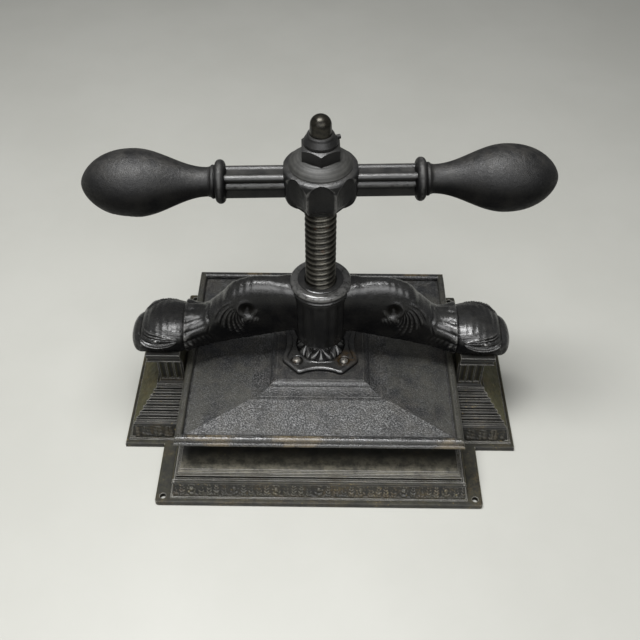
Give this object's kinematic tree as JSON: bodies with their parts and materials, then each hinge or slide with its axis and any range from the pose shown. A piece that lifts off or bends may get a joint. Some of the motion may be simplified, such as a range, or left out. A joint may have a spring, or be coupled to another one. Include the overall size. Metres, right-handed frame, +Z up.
{
  "type": "screw copying press",
  "caption": "Cast-iron copying press: a two-bulb lever turns a screw through a yoke with sea-creature arms and drives a square platen down on a moulded bed.",
  "frame": {"origin": "centre of the base on the ground plane, on the screw's axis", "axes": "+X along the lever to the right, +Y to the back, +Z up along the screw's axis"},
  "size_m": [0.4476, 0.319, 0.3846],
  "materials": {
    "black_iron": "worn satin black japanning over cast iron",
    "dusty_iron": "black japanning under brown dust, rubbed edges",
    "screw_steel": "dark oiled steel with bright rubbed crests"
  },
  "bodies": {
    "frame": {"base_casting": "dusty_iron", "yoke_casting": "black_iron", "yoke_bolt_left": "screw_steel", "yoke_bolt_right": "screw_steel", "bolt_washer_left": "screw_steel", "bolt_washer_right": "screw_steel", "yoke_pin_left": "screw_steel", "yoke_pin_right": "screw_steel"},
    "platen": {"platen": "black_iron", "retaining_plate": "black_iron", "plate_screw_front_left": "screw_steel", "plate_screw_front_right": "screw_steel", "plate_screw_back_left": "screw_steel", "plate_screw_back_right": "screw_steel"},
    "screw": {"press_screw": "screw_steel", "screw_foot": "black_iron", "lever": "black_iron", "dome_washer": "black_iron", "lever_nut": "screw_steel", "lock_nut": "screw_steel"}
  },
  "joints": [
    {"name": "platen_slide", "type": "slide", "parent": "frame", "child": "platen", "axis": [0, 0, 1], "range_m": [-0.0358, 0.0058]},
    {"name": "screw_turn", "type": "hinge", "parent": "platen", "child": "screw", "pos_m": [0, 0, 0.2], "axis": [0, 0, 1], "range_deg": [-1836, 298]}
  ],
  "couplings": [
    {"joint": "platen_slide", "follows": "screw_turn", "m_per_rad": 0.0011141}
  ]
}
